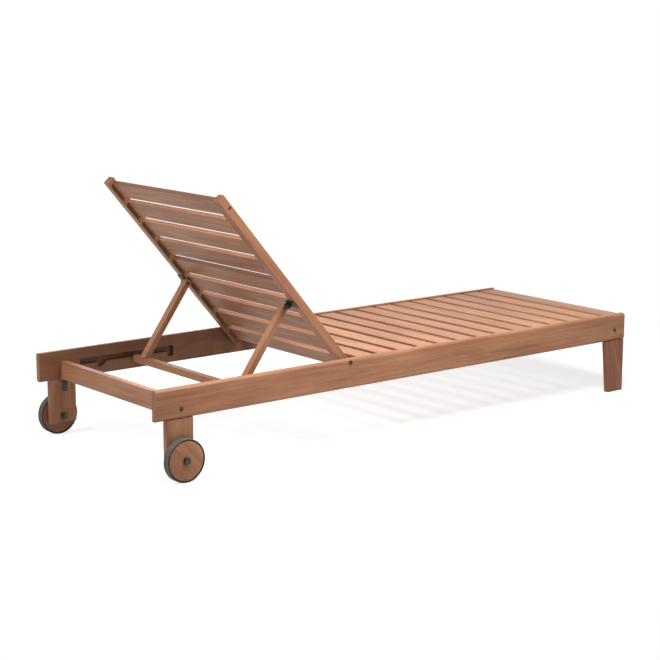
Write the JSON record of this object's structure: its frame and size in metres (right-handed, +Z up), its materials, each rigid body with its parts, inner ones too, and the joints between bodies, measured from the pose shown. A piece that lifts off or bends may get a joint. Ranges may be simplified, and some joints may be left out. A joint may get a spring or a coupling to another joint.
{
  "type": "adjustable slatted sun lounger",
  "caption": "Slatted hardwood sun lounger with a back that props up in notched side rails and wheels at the head end.",
  "frame": {"origin": "on the floor, midway between the ends of the side rails and on the centre line", "axes": "+X towards the foot end, +Y to the left of someone lying on it, +Z up"},
  "size_m": [2, 0.772, 0.8278],
  "materials": {
    "frame_wood": "oiled, satin",
    "seat_wood": "oiled, satin",
    "back_wood": "oiled, satin",
    "prop_wood": "oiled, satin",
    "wheel_wood": "oiled, satin",
    "dowel_wood": "plain beech",
    "tyre_rubber": "matt",
    "black_steel": "blackened, satin",
    "plated_steel": "zinc plated",
    "bush_plastic": "matt nylon"
  },
  "bodies": {
    "frame": {"axle_bolts": "black_steel", "axle_nuts": "black_steel", "axle_washers": "black_steel", "barrel_nuts": "plated_steel", "foot_cross_rail": "frame_wood", "foot_leg_left": "frame_wood", "foot_leg_right": "frame_wood", "frame_bolts": "black_steel", "head_cross_rail": "frame_wood", "leg_bracket_screws": "black_steel", "leg_brackets": "black_steel", "leg_dowels": "dowel_wood", "pivot_bolts": "black_steel", "pivot_nuts": "plated_steel", "pivot_spacers": "plated_steel", "seat_slat_01": "seat_wood", "seat_slat_02": "seat_wood", "seat_slat_03": "seat_wood", "seat_slat_04": "seat_wood", "seat_slat_05": "seat_wood", "seat_slat_06": "seat_wood", "seat_slat_07": "seat_wood", "seat_slat_08": "seat_wood", "seat_slat_09": "seat_wood", "seat_slat_10": "seat_wood", "seat_slat_11": "seat_wood", "seat_slat_12": "seat_wood", "seat_slat_13": "seat_wood", "seat_slat_14": "seat_wood", "side_rail_left": "frame_wood", "side_rail_right": "frame_wood", "wheel_leg_left": "frame_wood", "wheel_leg_right": "frame_wood"},
    "back": {"back_slat_01": "back_wood", "back_slat_02": "back_wood", "back_slat_03": "back_wood", "back_slat_04": "back_wood", "back_slat_05": "back_wood", "back_slat_06": "back_wood", "back_slat_07": "back_wood", "back_slat_08": "back_wood", "back_slat_09": "back_wood", "back_stile_left": "back_wood", "back_stile_right": "back_wood", "strut_bracket_screws": "black_steel", "strut_brackets": "black_steel", "strut_rivets": "black_steel", "top_slat_screws": "black_steel"},
    "prop": {"strut_foot_screws": "plated_steel", "strut_left": "prop_wood", "strut_right": "prop_wood", "support_bar": "prop_wood"},
    "wheel_left": {"tyre_left": "tyre_rubber", "wheel_bush_left": "bush_plastic", "wheel_disc_left": "wheel_wood"},
    "wheel_right": {"tyre_right": "tyre_rubber", "wheel_bush_right": "bush_plastic", "wheel_disc_right": "wheel_wood"}
  },
  "joints": [
    {"name": "back_hinge", "type": "hinge", "parent": "frame", "child": "back", "pos_m": [-0.2705, 0, 0.2704], "axis": [0, 1, 0], "range_deg": [-49.3, 12.3]},
    {"name": "prop_hinge", "type": "hinge", "parent": "back", "child": "prop", "pos_m": [-0.47442, 0, 0.46236], "axis": [0, 1, 0], "range_deg": [-26.2, 104.4]},
    {"name": "wheel_left_spin", "type": "hinge", "parent": "frame", "child": "wheel_left", "pos_m": [-0.916, 0.3655, 0.066], "axis": [0, 1, 0], "continuous": true},
    {"name": "wheel_right_spin", "type": "hinge", "parent": "frame", "child": "wheel_right", "pos_m": [-0.916, -0.3655, 0.066], "axis": [0, 1, 0], "continuous": true}
  ],
  "couplings": [
    {"joint": "prop_hinge", "follows": "back_hinge", "ratio": -2.112}
  ]
}
